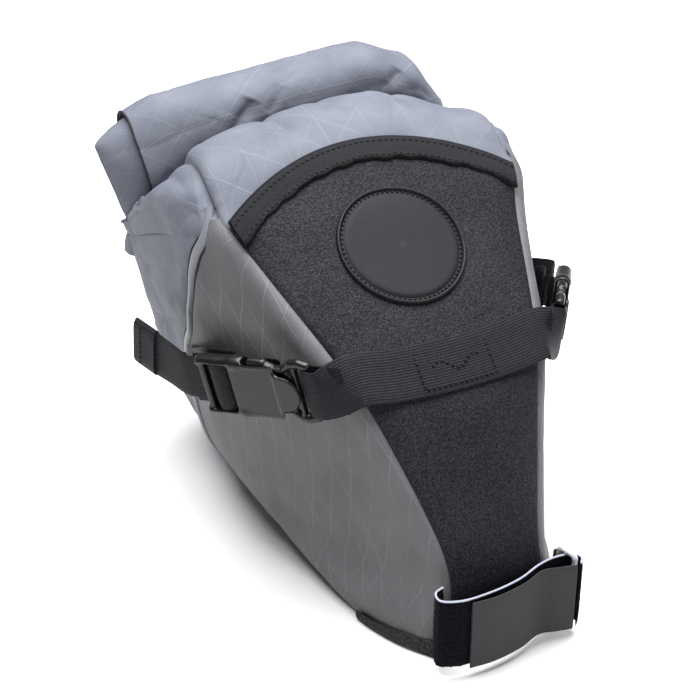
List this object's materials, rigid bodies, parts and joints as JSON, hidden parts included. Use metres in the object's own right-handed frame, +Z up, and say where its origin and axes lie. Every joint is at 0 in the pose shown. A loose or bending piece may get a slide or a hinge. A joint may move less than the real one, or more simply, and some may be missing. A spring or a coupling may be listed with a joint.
{
  "type": "bicycle saddle bag",
  "caption": "Wedge-shaped roll-closure saddle bag with a grained face panel, webbing strap, side-release buckles and a hook-and-loop seatpost strap.",
  "frame": {"origin": "on the face the bag lies on, straight below the middle of the box stitching on the front strap", "axes": "+X to the right seen from the nose, +Y from the nose to the roll closure, +Z up from the face it lies on"},
  "size_m": [0.222, 0.2828, 0.211],
  "materials": {
    "grained_face_fabric": "rubberised, fine pebble grain, matte",
    "blue_grey_laminate": "laminated ripstop with raised diagonal lines, soft sheen",
    "grey_laminate": "laminated ripstop with raised diagonal lines, satin",
    "binding_grosgrain": "ribbed grosgrain tape, matte",
    "patch_rubber": "smooth, matte",
    "nylon_webbing": "fine crosswise ribs, matte",
    "buckle_plastic": "moulded acetal, satin",
    "loop_pile": "fuzzy loop pile",
    "strap_backing": "flat woven tape with a light edge, matte",
    "hook_tape": "fine hooks",
    "clear_plastic": "translucent moulded plastic",
    "nose_rubber": "coarse matte rubber",
    "stiffener_sheet": "plain sheet"
  },
  "bodies": {
    "root": {"front_panel": "grained_face_fabric", "front_stiffener": "stiffener_sheet", "top_binding": "binding_grosgrain", "round_patch": "patch_rubber", "patch_rim": "patch_rubber", "left_side_panel": "grey_laminate", "right_side_panel": "grey_laminate", "left_seam_tape": "binding_grosgrain", "right_seam_tape": "binding_grosgrain", "back_panel": "blue_grey_laminate", "collar": "blue_grey_laminate", "bottom_panel": "blue_grey_laminate", "bottom_stiffener": "stiffener_sheet", "nose_base": "nose_rubber", "front_webbing": "nylon_webbing", "left_buckle_male": "buckle_plastic", "right_buckle_male": "buckle_plastic", "left_anchor_webbing": "nylon_webbing", "right_anchor_webbing": "nylon_webbing", "seatpost_strap": "loop_pile", "ring_tab": "strap_backing", "strap_ring": "clear_plastic"},
    "left_female": {"left_buckle_female": "buckle_plastic", "left_ladder_webbing": "nylon_webbing"},
    "left_tail": {"left_tail": "nylon_webbing", "left_tail_hem": "nylon_webbing"},
    "left_prong_upper": {"left_prong_upper": "buckle_plastic"},
    "left_prong_lower": {"left_prong_lower": "buckle_plastic"},
    "right_female": {"right_buckle_female": "buckle_plastic", "right_ladder_webbing": "nylon_webbing"},
    "right_tail": {"right_tail": "nylon_webbing", "right_tail_hem": "nylon_webbing"},
    "right_prong_upper": {"right_prong_upper": "buckle_plastic"},
    "right_prong_lower": {"right_prong_lower": "buckle_plastic"},
    "strap_flap": {"strap_flap": "strap_backing", "flap_hook": "hook_tape"},
    "roll": {"roll_outer_wrap": "blue_grey_laminate", "roll_inner_wrap": "blue_grey_laminate", "roll_stiffener": "stiffener_sheet"}
  },
  "joints": [
    {"name": "left_buckle_slide", "type": "slide", "parent": "root", "child": "left_female", "axis": [-0.5731, 0.796, -0.1949], "range_m": [0, 0.022]},
    {"name": "left_tail_lift", "type": "hinge", "parent": "left_female", "child": "left_tail", "pos_m": [-0.09885, 0.07242, 0.1075], "axis": [-0.1843, 0.1066, 0.9771], "range_deg": [0, 35]},
    {"name": "left_prong_upper_squeeze", "type": "hinge", "parent": "root", "child": "left_prong_upper", "pos_m": [-0.07333, 0.02579, 0.12865], "axis": [-0.7985, -0.5958, -0.0856], "range_deg": [0, 12]},
    {"name": "left_prong_lower_squeeze", "type": "hinge", "parent": "root", "child": "left_prong_lower", "pos_m": [-0.06928, 0.02345, 0.10716], "axis": [0.7985, 0.5958, 0.0856], "range_deg": [0, 12]},
    {"name": "right_buckle_slide", "type": "slide", "parent": "root", "child": "right_female", "axis": [0.5731, 0.796, -0.1949], "range_m": [0, 0.022]},
    {"name": "right_tail_lift", "type": "hinge", "parent": "right_female", "child": "right_tail", "pos_m": [0.09885, 0.07242, 0.1075], "axis": [-0.1843, -0.1066, -0.9771], "range_deg": [0, 35]},
    {"name": "right_prong_upper_squeeze", "type": "hinge", "parent": "root", "child": "right_prong_upper", "pos_m": [0.07333, 0.02579, 0.12865], "axis": [-0.7985, 0.5958, 0.0856], "range_deg": [0, 12]},
    {"name": "right_prong_lower_squeeze", "type": "hinge", "parent": "root", "child": "right_prong_lower", "pos_m": [0.06928, 0.02345, 0.10716], "axis": [0.7985, -0.5958, -0.0856], "range_deg": [0, 12]},
    {"name": "strap_flap_peel", "type": "hinge", "parent": "root", "child": "strap_flap", "pos_m": [0.033, -0.0624, 0.024], "axis": [0, 0, 1], "range_deg": [0, 150]},
    {"name": "roll_unfurl", "type": "slide", "parent": "root", "child": "roll", "axis": [0, 0.349, 0.9371], "range_m": [0, 0.045]}
  ],
  "couplings": [
    {"joint": "left_prong_upper_squeeze", "follows": "left_buckle_slide", "rad_per_m": 9.215},
    {"joint": "left_prong_lower_squeeze", "follows": "left_buckle_slide", "rad_per_m": 9.215},
    {"joint": "right_prong_upper_squeeze", "follows": "right_buckle_slide", "rad_per_m": 9.215},
    {"joint": "right_prong_lower_squeeze", "follows": "right_buckle_slide", "rad_per_m": 9.215}
  ]
}
